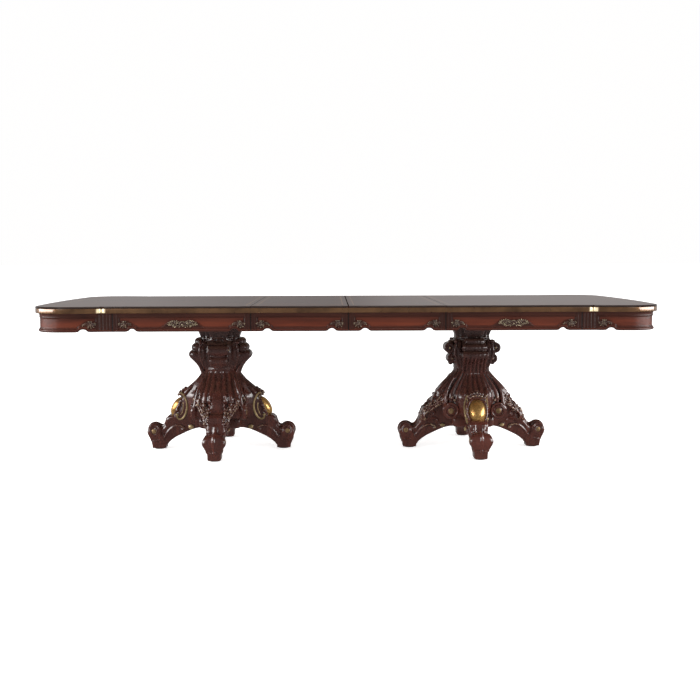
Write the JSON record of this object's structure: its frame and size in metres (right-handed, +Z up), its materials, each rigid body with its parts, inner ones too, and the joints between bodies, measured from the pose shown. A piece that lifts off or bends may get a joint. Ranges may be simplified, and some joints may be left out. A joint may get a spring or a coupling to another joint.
{
  "type": "dining table",
  "caption": "Long extension dining table on carved double pedestals, with a gilded edge band, scalloped aprons, slides, lift-out leaves and seam latches.",
  "frame": {"origin": "centre of the table's footprint at floor level, under the middle seam", "axes": "+X along the length towards the right end, -Y towards the viewer, +Z up"},
  "size_m": [3, 1.27, 0.787],
  "materials": {
    "veneer_top": "high-gloss lacquered dark cherry veneer with a narrow banding line",
    "carved_wood": "gloss dark mahogany stain, darker in the recesses",
    "gold_band": "antique bronze-gold leaf, rubbed brighter on the shoulders",
    "gold_medallion": "burnished gold leaf",
    "gilded_carving": "dark stain with rubbed gold highlights on the raised parts",
    "hidden_wood": "satin stained beech",
    "steel": "zinc-plated",
    "brass": "satin brass",
    "felt_pad": "dark brown felt"
  },
  "bodies": {
    "left_half": {"left_apron_carvings": "gilded_carving", "left_back_apron": "carved_wood", "left_back_corner_apron": "carved_wood", "left_battens_and_blocks": "hidden_wood", "left_collar": "carved_wood", "left_edge_band": "gold_band", "left_end_apron": "carved_wood", "left_foliage_leg_back": "carved_wood", "left_foliage_leg_front": "carved_wood", "left_foot_pads": "felt_pad", "left_front_apron": "carved_wood", "left_front_corner_apron": "carved_wood", "left_latch_base": "brass", "left_medallion_leg_left": "carved_wood", "left_medallion_leg_right": "carved_wood", "left_medallions": "gold_medallion", "left_pedestal_bolts": "steel", "left_pedestal_column": "carved_wood", "left_pedestal_plate": "hidden_wood", "left_slide_rails": "hidden_wood", "left_top": "veneer_top"},
    "right_half": {"right_apron_carvings": "gilded_carving", "right_back_apron": "carved_wood", "right_back_corner_apron": "carved_wood", "right_battens_and_blocks": "hidden_wood", "right_collar": "carved_wood", "right_edge_band": "gold_band", "right_end_apron": "carved_wood", "right_foliage_leg_left": "carved_wood", "right_foliage_leg_right": "carved_wood", "right_foot_pads": "felt_pad", "right_front_apron": "carved_wood", "right_front_corner_apron": "carved_wood", "right_latch_keeper": "brass", "right_medallion_leg_back": "carved_wood", "right_medallion_leg_front": "carved_wood", "right_medallions": "gold_medallion", "right_pedestal_bolts": "steel", "right_pedestal_column": "carved_wood", "right_pedestal_plate": "hidden_wood", "right_slide_rails": "hidden_wood", "right_top": "veneer_top"},
    "left_leaf": {"left_leaf_apron_carvings": "gilded_carving", "left_leaf_back_apron": "carved_wood", "left_leaf_battens": "hidden_wood", "left_leaf_edge_bands": "gold_band", "left_leaf_front_apron": "carved_wood", "left_leaf_latch_fittings": "brass", "left_leaf_top": "veneer_top"},
    "right_leaf": {"right_leaf_apron_carvings": "gilded_carving", "right_leaf_back_apron": "carved_wood", "right_leaf_battens": "hidden_wood", "right_leaf_edge_bands": "gold_band", "right_leaf_front_apron": "carved_wood", "right_leaf_latch_fittings": "brass", "right_leaf_top": "veneer_top"},
    "left_latch": {"left_latch_lever": "brass"},
    "middle_latch": {"middle_latch_lever": "brass"},
    "right_latch": {"right_latch_lever": "brass"}
  },
  "joints": [
    {"name": "right_half_slide", "type": "slide", "parent": "left_half", "child": "right_half", "axis": [1, 0, 0], "range_m": [0, 0.075]},
    {"name": "left_leaf_lift", "type": "slide", "parent": "left_half", "child": "left_leaf", "axis": [0, 0, 1], "range_m": [0, 0.15]},
    {"name": "right_leaf_lift", "type": "slide", "parent": "left_half", "child": "right_leaf", "axis": [0, 0, 1], "range_m": [0, 0.15]},
    {"name": "left_latch_swing", "type": "hinge", "parent": "left_half", "child": "left_latch", "pos_m": [-0.4872, 0, 0.747], "axis": [0, 0, -1], "range_deg": [0, 90]},
    {"name": "middle_latch_swing", "type": "hinge", "parent": "left_leaf", "child": "middle_latch", "pos_m": [-0.03, 0, 0.747], "axis": [0, 0, -1], "range_deg": [0, 90]},
    {"name": "right_latch_swing", "type": "hinge", "parent": "right_leaf", "child": "right_latch", "pos_m": [0.4272, 0, 0.747], "axis": [0, 0, -1], "range_deg": [0, 90]}
  ]
}
